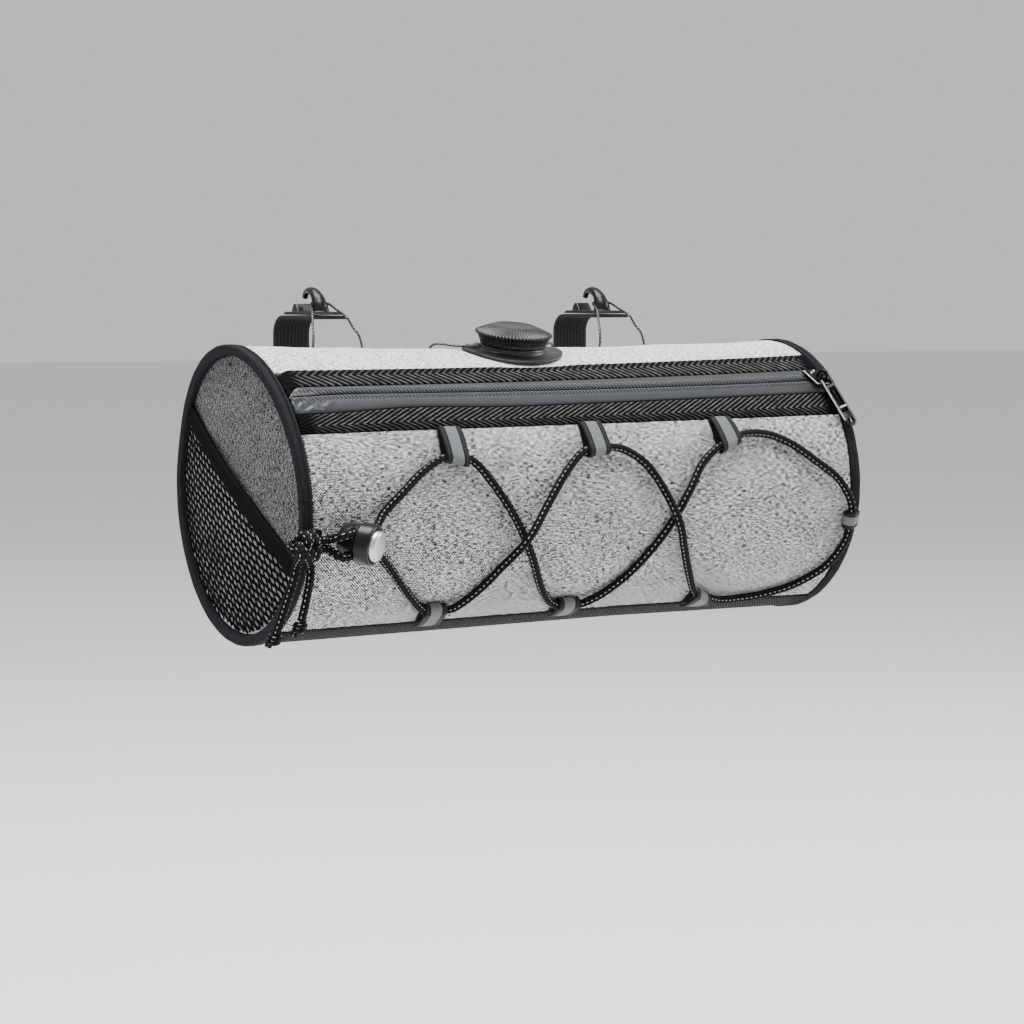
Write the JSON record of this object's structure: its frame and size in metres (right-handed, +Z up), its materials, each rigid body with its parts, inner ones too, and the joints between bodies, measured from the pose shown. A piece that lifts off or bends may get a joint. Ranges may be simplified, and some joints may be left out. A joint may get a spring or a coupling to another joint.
{
  "type": "bicycle handlebar bag",
  "caption": "Barrel-shaped cloth bag that hangs in front of a handlebar, with a zip, a laced elastic cord, a net pocket on one end and a dial that tightens its hooks.",
  "frame": {"origin": "middle of the handlebar that the bag hangs on", "axes": "+X along the bar to the rider's left as seen from the front, -Y towards the front of the bag, +Z up"},
  "size_m": [0.2635, 0.1463, 0.1332],
  "materials": {
    "heather": "heather-grey woven cloth",
    "black_cloth": "matt black cloth",
    "binding": "woven tape",
    "webbing": "dark herringbone tape",
    "coated_zip": "satin coating over the zip's coil",
    "net": "fine open net",
    "ribbon": "black ribbon with a light reflective stripe",
    "cord": "black braid with light reflective flecks",
    "dark_plastic": "fine satin",
    "gloss_plastic": "gloss black",
    "dark_metal": "dark plated metal",
    "metal": "polished",
    "lace": "dark twisted steel lace"
  },
  "bodies": {
    "bag": {"front_panel": "heather", "top_panel": "heather", "back_panel": "black_cloth", "bottom_trim": "webbing", "end_panel_left": "heather", "end_panel_right": "heather", "binding_left": "binding", "binding_right": "binding", "pocket_mesh": "net", "pocket_band": "webbing", "zip_webbing_upper": "webbing", "zip_webbing_lower": "webbing", "zip_side_upper": "coated_zip", "zip_side_lower": "coated_zip", "zip_slider": "dark_metal", "loop_top_1": "ribbon", "loop_top_2": "ribbon", "loop_top_3": "ribbon", "loop_bottom_1": "ribbon", "loop_bottom_2": "ribbon", "loop_bottom_3": "ribbon", "loop_right": "ribbon", "shock_cord": "cord", "cord_tail_left": "cord", "cord_tail_right": "cord", "tail_end_left": "cord", "tail_end_right": "cord", "cord_knot": "cord", "cord_lock_body": "gloss_plastic", "dial_base": "dark_plastic", "lace_guide_left": "gloss_plastic", "lace_guide_right": "gloss_plastic", "lace_dial_left": "lace", "lace_dial_right": "lace", "lace_hook_left": "lace", "lace_hook_right": "lace", "hook_left": "gloss_plastic", "hook_right": "gloss_plastic", "hook_strap_left": "black_cloth", "hook_strap_right": "black_cloth"},
    "dial": {"dial_cap": "dark_plastic"},
    "button": {"cord_lock_button": "metal"},
    "pull": {"zip_pull": "dark_metal"}
  },
  "joints": [
    {"name": "dial_turn", "type": "hinge", "parent": "bag", "child": "dial", "pos_m": [-0.0104, -0.0613, -0.00161], "axis": [0, -0.1736, 0.9848], "continuous": true},
    {"name": "cord_lock_press", "type": "slide", "parent": "bag", "child": "button", "axis": [-0.6157, 0.7662, 0.184], "range_m": [0, 0.0018], "stiffness_N_per_m": 900, "springref_m": -0.001},
    {"name": "zip_pull_swing", "type": "hinge", "parent": "bag", "child": "pull", "pos_m": [0.11474, -0.09539, -0.01008], "axis": [-0.9415, -0.2402, -0.2365], "range_deg": [0, 120]}
  ]
}
